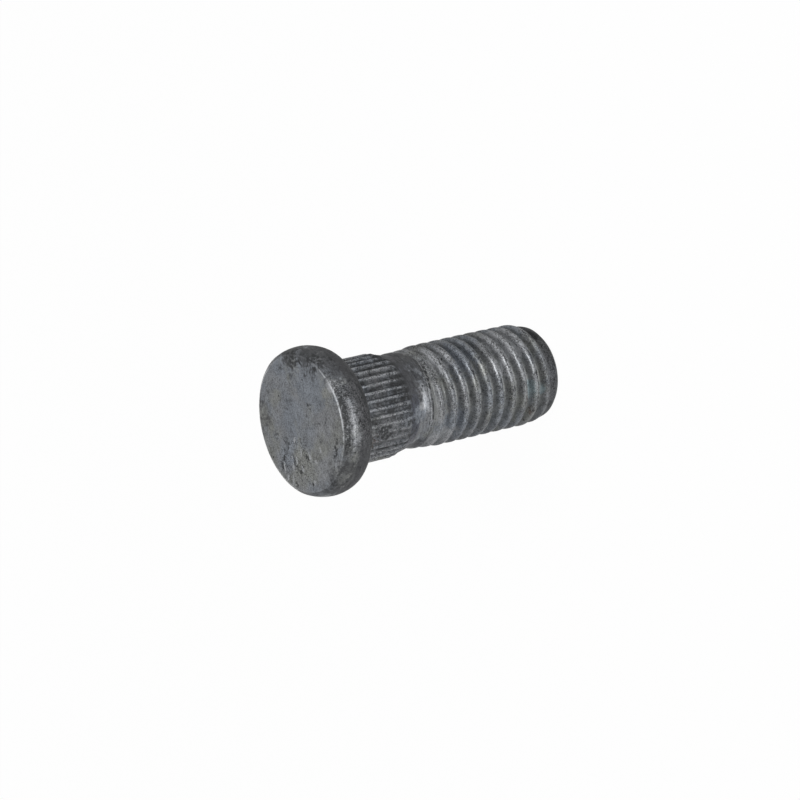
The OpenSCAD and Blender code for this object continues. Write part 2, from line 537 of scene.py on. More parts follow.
def applyTree(piece, tree, sizes):
    modifier = piece.modifiers.new(tree.name, "NODES")
    modifier.node_group = tree
    for item in tree.interface.items_tree:
        if item.item_type == "SOCKET" and item.name in sizes:
            modifier[item.identifier] = sizes[item.name]
    bpy.context.view_layer.update()
    graph = bpy.context.evaluated_depsgraph_get()
    solved = piece.evaluated_get(graph)
    options = {"preserve_all_data_layers": True, "depsgraph": graph}
    made = bpy.data.meshes.new_from_object(solved, **options)
    piece.modifiers.clear()
    piece.data = made


def polar(tree, position):
    # radius, share of a turn, height and x of each point
    x, y, z = addNode(tree, "ShaderNodeSeparateXYZ", {0: position}).outputs
    radius = calc(tree, "SQRT", total(tree, product(tree, x, x), product(tree, y, y)))
    share = ratio(tree, calc(tree, "ARCTAN2", y, x), turn)
    return radius, share, z, x


def pointPlaces(tree):
    return polar(tree, tree.nodes.new("GeometryNodeInputPosition").outputs[0])[:3]


def moveToRadius(tree, geometry, radius, newRadius, chosen):
    position = tree.nodes.new("GeometryNodeInputPosition").outputs[0]
    factor = ratio(tree, newRadius, most(tree, radius, 0.001))
    stretch = addNode(tree, "ShaderNodeCombineXYZ", {0: factor, 1: factor, 2: 1.0}).outputs[0]
    moved = vectorCalc(tree, "MULTIPLY", {0: position, 1: stretch})[0]
    inputs = {"Geometry": geometry, "Selection": chosen, "Position": moved}
    return addNode(tree, "GeometryNodeSetPosition", inputs).outputs[0]


def keep(tree, geometry, name, value):
    inputs = {"Geometry": geometry, "Name": name, "Value": value}
    options = {"data_type": "FLOAT", "domain": "POINT"}
    return addNode(tree, "GeometryNodeStoreNamedAttribute", inputs, **options).outputs[0]


def waver(tree, scale, size, seed):
    # slow unevenness, from minus to plus size
    inputs = {"W": seed, "Scale": scale, "Detail": 2.0}
    noise = addNode(tree, "ShaderNodeTexNoise", inputs, noise_dimensions="4D")
    return product(tree, less(tree, noise.outputs[0], 0.5), product(tree, size, 2.0))


def knurlTree(material):
    tree, size = newTree("pressedKnurl", knurl)
    radius, share, height = pointPlaces(tree)
    turned = product(tree, less(tree, share, size["Start"]), size["Ridges"])
    # distance from the middle of a ridge, 0 there and 1 in the middle of a groove
    away = product(tree, unsigned(tree, wrapped(tree, turned, -0.5)), 2.0)
    floorStart = less(tree, 1.0, size["Floor share"])
    groove = ramp(tree, away, size["Crest share"], floorStart, kind="LINEAR")
    shallow = less(tree, size["Top"], size["Fillet"])
    deep = ramp(tree, height, size["Top"], shallow)
    uneven = waver(tree, knurlForm["waverScale"], size["Waver"], knurlForm["waverSeed"])
    rising = total(tree, size["Battered from"], knurlForm["batteredSoft"])
    falling = total(tree, size["Battered to"], knurlForm["batteredSoft"])
    battered = product(
        tree,
        ramp(tree, share, size["Battered from"], rising),
        ramp(tree, share, falling, size["Battered to"]),
    )
    left = ramp(tree, battered, 0.0, 1.0, 1.0, knurlForm["batteredDepth"], "LINEAR")
    full = product(tree, size["Depth"], left)
    depth = product(tree, product(tree, groove, deep), total(tree, full, uneven))
    low = product(tree, less(tree, 1.0, groove), unsigned(tree, uneven))
    seat = less(tree, blank["seatRadius"], total(tree, depth, low))
    newRadius = calc(tree, "MINIMUM", radius, seat)
    slackUp, slackOut = knurlForm["slack"]
    above = calc(tree, "GREATER_THAN", height, size["End"])
    below = calc(tree, "LESS_THAN", height, total(tree, size["Top"], slackUp))
    slim = calc(tree, "LESS_THAN", radius, blank["seatRadius"] + slackOut)
    chosen = product(tree, above, below, slim)
    geometry = moveToRadius(tree, size["Geometry"], radius, newRadius, chosen)
    # how strongly the finish shows the groove's dirt and the ridge's shine
    clear = less(tree, 1.0, product(tree, battered, knurlForm["batteredMarks"]))
    geometry = keep(tree, geometry, "valley", product(tree, groove, chosen, clear))
    ridge = product(tree, ramp(tree, away, *knurlForm["ridgeStripe"]), chosen, clear)
    geometry = keep(tree, geometry, "ridge", ridge)
    closeTree(tree, geometry, material)
    return tree


def stripe(tree, phase, middle, outer, inner, share=1.0):
    # a soft stripe along the thread, about a place in pitches from the crest
    return ramp(tree, unsigned(tree, less(tree, phase, middle)), outer, inner, 0.0, share)


def threadTree(material):
    tree, size = newTree("rolledThread", thread)
    form = threadForm
    radius, share, height = pointPlaces(tree)
    climb = ratio(tree, less(tree, height, size["Tip edge"]), size["Pitch"])
    turned = total(tree, less(tree, climb, share), size["Start"])
    # distance from the crest in pitches, 0 to 0.5
    away = unsigned(tree, wrapped(tree, turned, -0.5))
    curve = tree.nodes.new("ShaderNodeFloatCurve")
    curve.mapping.use_clip = True
    points = curve.mapping.curves[0].points
    for point in form["section"]:
        points.new(*point)
    points[0].location = (0, 0)
    points[-1].location = (1, 1)
    curve.mapping.update()
    tree.links.new(product(tree, away, 2.0), curve.inputs["Value"])
    depth = curve.outputs[0]
    full = less(tree, size["Crest radius"], size["Root radius"])
    rolled = less(tree, size["Crest radius"], product(tree, depth, full))
    # the neck narrows, then the blank swells below a leaning ring
    fallen = less(tree, size["Top"], height)
    around = product(tree, less(tree, share, size["High side"]), turn)
    leaning = product(tree, less(tree, 1.0, calc(tree, "COSINE", around)), size["Lean"])
    swell = ramp(tree, less(tree, fallen, leaning), 0.0, size["Swelling length"])
    swollen = total(tree, size["Blank radius"], product(tree, swell, size["Swelling height"]))
    neckFoot = blank["neckRadius"] - blank["neckLength"] * neckSlope
    neck = less(tree, neckFoot, product(tree, fallen, neckSlope))
    plain = calc(tree, "SMOOTH_MAX", neck, swollen, form["neckBlend"])
    # the grooves sink into it, and the crests rise later but are full sooner
    runOut = ratio(tree, less(tree, fallen, size["Crest start"]), size["Crest run-out"])
    late = less(tree, 1.0, size["Crest lag"])
    crestGrowth = ramp(tree, runOut, size["Crest lag"], late, kind="LINEAR")
    sunk = ratio(tree, less(tree, fallen, size["Groove start"]), size["Groove run-out"])
    growth = ramp(tree, sunk, 0.0, 1.0, kind="LINEAR")
    change = less(tree, rolled, plain)
    rise = product(tree, most(tree, change, 0.0), crestGrowth)
    sink = product(tree, calc(tree, "MINIMUM", change, 0.0), growth)
    formed = total(tree, plain, total(tree, rise, sink))
    # the rolled walls rise as lips that close in on each other, and leave a fine seam where
    # they meet
    lipPlace = ramp(tree, runOut, *form["lipPath"], "LINEAR")
    fromLip = unsigned(tree, less(tree, away, lipPlace))
    lipShape = ramp(tree, fromLip, form["lipWidth"], 0.0)
    lip = product(tree, lipShape, ramp(tree, runOut, *form["lipStart"]))
    formed = total(tree, formed, product(tree, lip, size["Lip height"]))
    seam = product(tree, ramp(tree, away, form["seamWidth"], 0.0), size["Seam depth"])
    formed = less(tree, formed, product(tree, seam, growth))
    uneven = waver(tree, form["waverScale"], size["Waver"], form["waverSeed"])
    formed = total(tree, formed, product(tree, uneven, growth))
    # the tip: the grooves fade and a cone trims the crests
    ends = (size["Tip edge"], size["Tip taper"], size["Tip corner"], size["Crest radius"])
    cone = ramp(tree, height, *ends, "LINEAR")
    fadeStart = product(tree, size["Tip taper"], form["tipFade"])
    fade = ramp(tree, height, fadeStart, size["Tip taper"])
    tipRadius = total(tree, size["Blank radius"], form["tipBlank"])
    smoothTip = calc(tree, "MINIMUM", cone, tipRadius)
    faded = total(tree, smoothTip, product(tree, less(tree, formed, smoothTip), fade))
    newRadius = calc(tree, "MINIMUM", cone, faded)
    above = calc(tree, "GREATER_THAN", height, total(tree, size["Tip edge"], form["slack"]))
    below = calc(tree, "LESS_THAN", height, less(tree, size["Top"], form["slack"]))
    chosen = product(tree, above, below)
    geometry = moveToRadius(tree, size["Geometry"], radius, newRadius, chosen)
    # the rest tells the finish where it is deep, worn, split or dull, and where highlight and
    # shade are painted
    started = product(tree, ramp(tree, growth, 0.0, form["started"]), fade)
    groove = product(tree, product(tree, depth, started), chosen)
    geometry = keep(tree, geometry, "groove", groove)
    # two bright lines run along the crest: worn metal, and the stronger one, on the side towards
    # the head, is also a painted highlight
    phase = wrapped(tree, turned, -0.5)
    upper = stripe(tree, phase, *form["upperShine"])
    lower = stripe(tree, phase, *form["lowerShine"], form["lowerShare"])
    shine = most(tree, upper, lower, lip)
    crest = product(tree, shine, ramp(tree, sunk, 0.0, form["shineStart"]), fade)
    geometry = keep(tree, geometry, "crest", product(tree, crest, chosen))
    middle = product(tree, ramp(tree, away, *form["seamStripe"]), product(tree, growth, fade))
    geometry = keep(tree, geometry, "seam", product(tree, middle, chosen))
    # painted light and shade: the groove's sides are painted paler than the crest, as if lit, and
    # its floor darker, as painted shadow under the crest above
    onFloor = stripe(tree, wrapped(tree, turned, -1.0), *form["floorStripe"])
    paintedFloorShadow = product(tree, onFloor, growth, fade, form["paintedFloorShadow"])
    shift, gain = form["paintedGrooveLight"]
    paintedGrooveLight = product(tree, total(tree, groove, shift), gain)
    tone = total(tree, paintedGrooveLight, paintedFloorShadow)
    tone = product(tree, tone, ramp(tree, height, *form["paintedShadeHeights"]))
    geometry = keep(tree, geometry, "tone", tone)
    closeTree(tree, geometry, material)
    return tree


# Wear: the head is a little uneven, and nicks, scuffs and a patch of worn dents mark its face

wear = {
    # the inputs of the tree that makes the head uneven
    "Depth": 0.03,
    "Scale": 0.45,
    "Fine depth": 0.015,
    "Fine scale": 1.6,
}
wearForm = {"seed": 2.0, "fineSeed": 9.0, "aboveSeat": 0.05}
dents = {
    "count": 24,
    "seed": 11,
    "middle": (-4.4, 1.9),
    "spread": (1.3, 2.4),
    "direction": (172, 22),  # degrees, and their scatter
    "halfLength": (0.2, 0.75),
    "halfWidth": (0.12, 0.24),
    "depth": (0.02, 0.06),
    "tone": (0.7, 1.0),
    "brightToDark": (-1.0, 0.6),  # a draw below zero makes a dent bright
}
nicks = [
    # x, y, direction in degrees, half length, half width, depth, tone from -1 bright to 1 dark
    (6.8, -2.3, 42, 0.65, 0.24, 0.06, 1.0),
    (2.0, 2.35, 100, 0.5, 0.4, 0.02, 0.55),
    (2.75, 1.2, 70, 0.5, 0.3, 0.02, 0.45),
    (1.7, -2.3, 30, 0.45, 0.3, 0.04, 0.9),
    (0.85, -1.2, 47, 0.6, 0.2, 0.05, 0.9),
    (-0.25, -4.9, 0, 0.3, 0.28, 0.03, 0.7),
    (-0.65, -3.55, 60, 0.35, 0.25, 0.03, 0.7),
    (1.85, -6.4, 0, 0.2, 0.25, 0.04, 0.9),
    (-2.45, -3.05, 90, 0.3, 0.2, 0.03, 0.6),
    (-3.5, -5.7, 158, 0.85, 0.35, 0.05, 0.9),
    (-5.0, -5.5, 155, 0.45, 0.22, 0.04, 1.0),
    (-5.1, -4.75, 159, 0.9, 0.2, 0.03, 0.7),
    (-3.4, 4.65, 168, 0.9, 0.35, 0.05, 0.85),
    (-0.7, 5.3, 20, 0.45, 0.5, 0.02, 0.6),
    (-1.6, 3.5, 60, 0.6, 0.35, 0.02, 0.6),
    (-6.75, 3.6, 120, 0.55, 0.4, 0.04, 1.0),
    (-7.15, 0.7, 90, 0.5, 0.35, 0.04, 1.0),
]
faceDepth = (0.25, 0.1)  # marks reach this far below the face, fading over the second length


def wornDents():
    # short bright and dark dents, strewn about one patch and turned about the same way
    random = np.random.default_rng(dents["seed"])
    marks = []
    for _ in range(dents["count"]):
        x, y = random.normal(dents["middle"], dents["spread"])
        sizes = [random.uniform(*dents[key]) for key in ("halfLength", "halfWidth", "depth")]
        strength = random.uniform(*dents["tone"])
        tone = math.copysign(strength, random.uniform(*dents["brightToDark"]))
        marks.append((x, y, random.normal(*dents["direction"]), *sizes, tone))
    return marks


def wearTree(material):
    tree, size = newTree("unevenHead", wear)
    height = pointPlaces(tree)[2]
    broad = waver(tree, size["Scale"], size["Depth"], wearForm["seed"])
    broad = less(tree, broad, size["Depth"])
    fine = waver(tree, size["Fine scale"], size["Fine depth"], wearForm["fineSeed"])
    fine = less(tree, fine, size["Fine depth"])
    normal = tree.nodes.new("GeometryNodeInputNormal").outputs[0]
    offset = vectorCalc(tree, "SCALE", {0: normal, "Scale": total(tree, broad, fine)})[0]
    chosen = calc(tree, "GREATER_THAN", height, seatTop + wearForm["aboveSeat"])
    inputs = {"Geometry": size["Geometry"], "Selection": chosen, "Offset": offset}
    closeTree(tree, addNode(tree, "GeometryNodeSetPosition", inputs).outputs[0], material)
    return tree


def meshPoints(mesh):
    points = np.empty(3 * len(mesh.vertices), dtype=np.float32)
    mesh.vertices.foreach_get("co", points)
    return points.reshape(-1, 3)


def pressMarks(mesh):
    points = meshPoints(mesh)
    reach, fade = faceDepth
    onFace = np.clip((points[:, 2] - studLength + reach) / fade, 0, 1)
    for x, y, direction, halfLength, halfWidth, depth, _ in nicks + wornDents():
        side = np.array([math.cos(math.radians(direction)), math.sin(math.radians(direction))])
        away = points[:, :2] - (x, y)
        along, across = away @ side, away @ (-side[1], side[0])
        shape = np.exp(-(along / halfLength) ** 2 - (across / halfWidth) ** 2)
        points[:, 2] -= depth * shape * onFace
    mesh.vertices.foreach_set("co", points.ravel())


# Head and tip were struck slightly off the axis, in mm towards +X and +Y
drift = {
    "heights": (0, 2.5, 8, 20, 23, 29.6),
    "shaft": (-0.08, -0.04, 0, 0, 0.04, 0.04),
    "headHeights": (29.6, 31.5, 33.8),
    "head": (-0.15, -0.1, 0.0),
    "headBack": 0.08,
    "headReach": 4,
    "underside": (6.2, 1.6),  # the radius at which it starts to follow the head, and the length
    "slack": 0.02,
}


def driftFromAxis(mesh):
    points = meshPoints(mesh)
    radius, height = np.hypot(points[:, 0], points[:, 1]), points[:, 2]
    shaft = np.interp(height, drift["heights"], drift["shaft"])
    head = np.interp(height, drift["headHeights"], drift["head"])
    start, length = drift["underside"]
    underside = np.where(
        height > seatTop - drift["slack"], np.clip((radius - start) / length, 0, 1), 0
    )
    share = np.where(height > seatTop + drift["slack"], 1, underside)
    points[:, 0] += shaft + (head - shaft) * share
    back = drift["headBack"] * share
    points[:, 1] += back * np.clip((height - seatTop) / drift["headReach"], 0, 1)
    mesh.vertices.foreach_set("co", points.ravel())


# Finish: dull zinc, speckled and pitted, with dirt in the hollows and worn edges, and with painted
# shade and painted highlights in places

zinc = {
    "clean": (0.156, 0.161, 0.169),
    "blue": (0.146, 0.159, 0.178),
    "olive": (0.152, 0.156, 0.150),
    "sky": (0.185, 0.230, 0.245),
    "neck": (0.055, 0.058, 0.070),
    # dark smoky stains, and painted shade on the lower rim, the bevel and the groove flanks
    "smokeAndShade": (0.056, 0.057, 0.060),
    # dirt, also painting the band of shade beside the face
    "dirt": (0.026, 0.027, 0.028),
    # worn metal, also painting the highlights on the face's edge and along the crests
    "worn": (0.34, 0.35, 0.365),
    "rust": (0.072, 0.053, 0.045),
    # pale patches, and painted highlights on the swelling and the bevel
    "pale": (0.265, 0.272, 0.283),
    "edge": (0.28, 0.28, 0.28),
    "metallic": 0.2,
    "specular": 0.22,
    "roughness": 0.23,
    "bump": 0.025,  # mm
}
speckles = {
    # name: scale per mm, seed, detail
    "grain": (8.5, 1.0, 1.0),
    "speck": (2.6, 2.0, 3.0),
    "mottle": (0.75, 3.0, 4.0),
    "cloud": (0.2, 4.0, 2.0),
    "haze": (0.26, 5.0, 3.0),
}
speckRoughness = 0.55
strokes = {"brushed": (0.22, 2.2, 1.0), "combed": (0.35, 0.35, 2.0)}  # the speck drawn out
neckEnd = 19.35  # below this height the smooth neck turns into the speckled thread
bands = {
    # low, high and softness: of heights in mm
    "neck": (neckEnd, chamferEnd - 0.08, 0.12),
    "darkNeck": (neckEnd + 1.55, chamferEnd - 0.08, 0.25),
    "seat": (chamferEnd, seatTop, 0.05),
    "seatFoot": (chamferEnd - 0.1, chamferEnd + 0.25, 0.06),
    "rim": (seatTop + 0.1, studLength - 0.1, 0.05),
    # of radii in mm
    "bevel": (7.98, 8.6, 0.06),
    # where the band of painted shade beside the face lies
    "darkBevel": (8.05, 8.52, 0.1),
    "faceEdge": (7.86, 8.0, 0.05),
    # of shares of a turn
    "litSide": (-0.33, -0.18, 0.03),
    # the side where the face's edge is painted brighter, as a highlight
    "edgeHighlightSide": (-0.32, -0.13, 0.03),
    "cloggedSide": (-0.395, -0.33, 0.015),
    "crackedSide": (-0.39, -0.12, 0.04),
    # of depths in the groove, and of heights above the crack in mm
    # depths in the groove that get painted shade
    "flank": (0.5, 0.95, 0.12),
    "crack": (-0.18, 0.12, 0.06),
    "crackLip": (0.2, 0.32, 0.04),
    "crackBack": (0.38, 0.46, 0.05),
}
steps = {
    # where a share is 0 and where it is 1: heights in mm
    "face": (studLength - 0.14, studLength - 0.04),
    "faceEdge": (studLength - 0.2, studLength - 0.1),
    "head": (seatTop + 2, seatTop + 3),
    "ridgeEnd": (seatEnd + 0.3, seatEnd + 1.3),
    # painted shade on the rim's lower half
    "shadedLowRim": (32.9, 31.6),
    "lowTip": (2.6, 1.2),
    "thread": (19.0, 17.5),
    # shares of a turn, on both sides of the lit one
    "upperSide": (-0.33, -0.42),
    "lowerSide": (-0.13, -0.05),
    # x in mm, and the painted light at both: the thread is lighter towards -X and darker towards
    # +X
    "paintedSideLight": (-3.5, -1.0, 0.15, -0.12),
}
scuffs = {"middle": (-4.3, 2.2, studLength), "reach": (4.2, 1.5)}
pitting = {"scale": 0.8, "edge": (0.32, 0.24), "chance": 0.45}
crackPath = (-0.26, -0.1, 19.12, 18.35)  # shares of a turn, and the heights there
stains = {
    # x, y and z on the surface in mm, and the spot's size
    "rust": [
        (-4.3, -4.4, 28.2, 1.1), (-4.9, -3.4, 4.2, 0.7), (-2.9, -5.2, 4.9, 0.6),
        (3.9, 4.6, 27.4, 1.0),
    ],
    "blue": [
        (3.9, -4.3, 13.5, 2.6), (-4.7, -3.2, 15.5, 2.4), (-1.9, -5.3, 21.2, 0.9),
        (4.5, -3.5, 33.8, 2.5),
    ],
    "sky": [(-1.9, -4.8, 4.3, 0.9), (-2.4, -4.6, 2.5, 0.5)],
    # dark smoky stains; those low on the rim, near a height of 31 mm, are painted shade
    "smokeAndShade": [
        (6.7, -5.7, 31.0, 3.0), (8.4, -0.4, 33.2, 2.0), (7.6, -3.6, 33.1, 1.7),
        (7.8, -2.5, 33.7, 1.1), (-6.2, -5.8, 33.1, 1.0), (5.2, -7.0, 31.4, 2.2),
        (-7.3, -4.8, 30.9, 2.6), (-8.4, -2.6, 31.8, 1.6), (2.5, -7.9, 30.8, 1.8),
        (3.6, 8.0, 31.5, 2.5), (-5.6, -1.5, 20.2, 1.5), (5.4, -2.2, 21.6, 2.4),
        (4.2, -3.8, 20.4, 1.9), (2.0, -5.5, 21.8, 2.0), (3.0, -4.5, 1.3, 1.0),
    ],
    # pale patches on the thread; those on the swelling and at the bevel are painted highlights
    "pale": [
        (3.3, -7.3, 33.6, 0.7), (-1.2, -5.4, 20.5, 0.35), (4.2, -4.0, 5.8, 2.4),
        (4.9, -3.2, 4.8, 1.8), (4.3, -4.0, 7.6, 1.5), (4.2, -4.2, 15.8, 1.8),
        (1.5, -5.5, 8.2, 1.3), (-5.3, -2.3, 16.5, 1.6),
    ],
    "dirt": [
        (-1.3, -5.3, 22.6, 0.45), (-2.5, -4.9, 22.5, 0.6), (-3.6, -4.1, 22.4, 0.6),
        (-3.0, -5.3, 26.0, 0.9), (4.2, -3.5, 1.3, 0.5), (-4.5, -3.6, 3.6, 0.35),
        (-1.0, -4.9, 13.1, 0.3), (-3.3, -5.2, 24.3, 0.3), (7.9, -1.3, 33.5, 1.2),
        (6.4, -4.9, 33.5, 1.0), (2.0, 5.2, 1.5, 1.5),
    ],
}
amounts = {
    # how much each of them shows where it is full
    # flank and bevel are painted shade
    "sky": 0.8, "olive": 0.6, "flank": 0.1, "bevel": 0.5, "clogged": 0.4, "lowTip": 0.8,
    "smokeAndShade": 0.85, "rust": 0.7, "holes": 0.95, "pits": 0.8, "spots": 0.85, "seam": 0.35,
    "ridge": 0.6, "crest": 0.16, "lip": 0.45,
    # how far each kind of grain swings between light and dark
    "fine": 4.0, "middle": 1.1, "broad": 1.0, "brushed": 0.9, "combed": 1.5,
}
stainEdge = (1.5, 0.7)  # shares of a spot's size, from none to full
markEdge = (1.25, 0.7)
markDepth = 0.4  # mm


def speckle(tree, place, name, stretch=None):
    scale, seed, detail = speckles[name]
    if stretch:
        place = vectorCalc(tree, "MULTIPLY", {0: place, 1: stretch})[0]
    inputs = {
        "Vector": place,
        "W": seed,
        "Scale": scale,
        "Detail": detail,
        "Roughness": speckRoughness,
    }
    return addNode(tree, "ShaderNodeTexNoise", inputs, noise_dimensions="4D").outputs[0]


def blend(tree, share, first, second, kind="MIX"):
    # a colour is either another node's output or three numbers
    node = tree.nodes.new("ShaderNodeMix")
    node.data_type = "RGBA"
    node.blend_type = kind
    for key, value in zip((0, 6, 7), (share, first, second)):
        feed(tree, node.inputs[key], (*value, 1) if isinstance(value, tuple) else value)
    return node.outputs[2]


def within(tree, value, low, high, soft):
    rising = ramp(tree, value, low - soft, low + soft)
    return product(tree, rising, ramp(tree, value, high + soft, high - soft))


def attribute(tree, name):
    return addNode(tree, "ShaderNodeAttribute", attribute_name=name).outputs["Fac"]


def distance(tree, place, middle):
    return vectorCalc(tree, "DISTANCE", {0: place, 1: middle})["Value"]


def stained(tree, here, name):
    # soft spots about places in mm, with ragged edges
    share = 0.0
    for *middle, size in stains[name]:
        away = ratio(tree, distance(tree, here.place, middle), size)
        share = most(tree, share, ramp(tree, total(tree, away, here.ragged), *stainEdge))
    return share


def struck(tree, here, marks, ragged):
    # the face's strokes and spots, each a turned oval with ragged edges
    share = 0.0
    for x, y, direction, halfLength, halfWidth, _, tone in marks:
        inputs = {
            "Vector": here.place,
            "Location": (x, y, studLength),
            "Rotation": (0, 0, math.radians(direction)),
            "Scale": (halfLength, halfWidth, markDepth),
        }
        turned = addNode(tree, "ShaderNodeMapping", inputs, vector_type="TEXTURE").outputs[0]
        away = total(tree, vectorCalc(tree, "LENGTH", {0: turned})["Value"], ragged)
        share = most(tree, share, ramp(tree, away, *markEdge, 0.0, abs(tone)))
    return share


def readSurface(tree):
    # what the finish knows of each point: its place, the marks of the tools and the speckles
    corner = tree.nodes.new("ShaderNodeTexCoord").outputs["Object"]
    place = vectorCalc(tree, "SCALE", {0: corner, "Scale": 1 / mm})[0]
    here = SimpleNamespace(place=place)
    here.radius, here.share, here.height, here.across = polar(tree, place)
    # the tone attribute carries the thread's painted groove light and painted floor shadow
    for name in ("valley", "ridge", "groove", "crest", "seam", "tone"):
        setattr(here, name, attribute(tree, name))
    for name in speckles:
        setattr(here, name, speckle(tree, place, name))
    for name, stretch in strokes.items():
        setattr(here, name, speckle(tree, place, "speck", stretch))
    here.both = less(tree, total(tree, here.speck, here.mottle), 1.0)
    here.ragged = product(tree, here.both, 2.2)
    here.onFace = ramp(tree, here.height, *steps["face"])
    here.onNeck = within(tree, here.height, *bands["neck"])
    here.onRim = within(tree, here.height, *bands["rim"])
    here.uneven = total(tree, here.height, here.both)
    here.ridgeEnd = ramp(tree, here.uneven, *steps["ridgeEnd"])
    return here


def addTintsAndShade(tree, here):
    # bluish and olive clouds, smoke, pale patches and rust at their places, with painted shade on
    # the lower rim, the bevel and low in the grooves, and painted highlights among the pale
    # patches
    colour = blend(tree, ramp(tree, here.cloud, 0.42, 0.62), zinc["clean"], zinc["blue"])
    olive = ramp(tree, here.haze, 0.48, 0.64)
    olive = most(tree, olive, product(tree, here.groove, amounts["olive"]))
    colour = blend(tree, olive, colour, zinc["olive"])
    darkNeck = within(tree, here.height, *bands["darkNeck"])
    colour = blend(tree, darkNeck, colour, zinc["neck"])
    colour = blend(tree, stained(tree, here, "blue"), colour, zinc["blue"])
    sky = product(tree, stained(tree, here, "sky"), amounts["sky"])
    colour = blend(tree, sky, colour, zinc["sky"])
    # painted shade: the rim's lower half, which faces down, is darker
    shadedLowRim = product(tree, here.onRim, ramp(tree, here.uneven, *steps["shadedLowRim"]))
    # painted shade low in the groove, under the crest above
    flank = product(tree, within(tree, here.groove, *bands["flank"]), amounts["flank"])
    # painted shade: the bevel is darker than the face
    bevel = within(tree, here.radius, *bands["bevel"])
    shadedBevel = product(tree, bevel, ramp(tree, here.height, *steps["head"]), amounts["bevel"])
    cloggedSide = within(tree, here.share, *bands["cloggedSide"])
    onSeat = within(tree, here.height, *bands["seat"])
    clogged = product(tree, cloggedSide, onSeat, amounts["clogged"])
    lowTip = product(tree, ramp(tree, here.uneven, *steps["lowTip"]), amounts["lowTip"])
    # the smoke colour paints the smoky stains together with the painted shade above
    smokedAndShaded = product(tree, stained(tree, here, "smokeAndShade"), amounts["smokeAndShade"])
    here.smoky = most(tree, flank, lowTip, shadedLowRim, smokedAndShaded, clogged, shadedBevel)
    colour = blend(tree, here.smoky, colour, zinc["smokeAndShade"])
    # pale patches, among them painted highlights on the swelling and the bevel
    colour = blend(tree, stained(tree, here, "pale"), colour, zinc["pale"])
    rust = stained(tree, here, "rust")
    rusty = product(tree, rust, ramp(tree, here.speck, 0.6, 0.42), amounts["rust"])
    return blend(tree, rusty, colour, zinc["rust"])


def addToneAndShading(tree, here, colour):
    # light and dark grain: faint on the face, most of the rim, the neck and in the grooves
    here.lit = within(tree, here.share, *bands["litSide"])
    dullRim = product(tree, here.onRim, between(tree, here.lit, 0.8, 0.1))
    onThread = ramp(tree, here.height, *steps["thread"])
    upperSide = ramp(tree, here.share, *steps["upperSide"])
    lowerSide = ramp(tree, here.share, *steps["lowerSide"])
    calm = product(tree, onThread, most(tree, upperSide, lowerSide))
    onFace = product(tree, here.onFace, 0.85)
    onTurns = product(tree, onThread, 0.3)
    smooth = most(tree, onFace, here.onNeck, dullRim, here.groove, onTurns, calm)
    scuffed = ramp(tree, distance(tree, here.place, scuffs["middle"]), *scuffs["reach"])
    rough = less(tree, smooth, product(tree, scuffed, 0.5))
    rough = between(tree, rough, 1.0, 0.4)
    here.swing = less(tree, here.grain, 0.5)
    fine = product(tree, here.swing, amounts["fine"])
    middle = product(tree, less(tree, here.speck, 0.5), amounts["middle"])
    broad = product(tree, less(tree, here.mottle, 0.5), amounts["broad"])
    lines = product(tree, less(tree, here.brushed, 0.5), here.onFace, amounts["brushed"])
    rings = less(tree, here.combed, 0.5)
    rings = product(tree, rings, between(tree, here.onFace, amounts["combed"], 0.0))
    # painted light: the thread is lighter towards -X and darker towards +X
    sideLight = product(tree, onThread, ramp(tree, here.across, *steps["paintedSideLight"]))
    grained = product(tree, total(tree, fine, middle), rough)
    # here.tone brings in the groove's painted light and painted floor shadow
    shade = total(tree, 1.0, grained, broad, lines, rings, here.tone, sideLight)
    shade = most(tree, shade, 0.12)
    shade = product(tree, shade, between(tree, here.onFace, 1.0, 1.05))
    grey = addNode(tree, "ShaderNodeCombineColor", {0: shade, 1: shade, 2: shade}).outputs[0]
    return blend(tree, 1.0, colour, grey, "MULTIPLY")


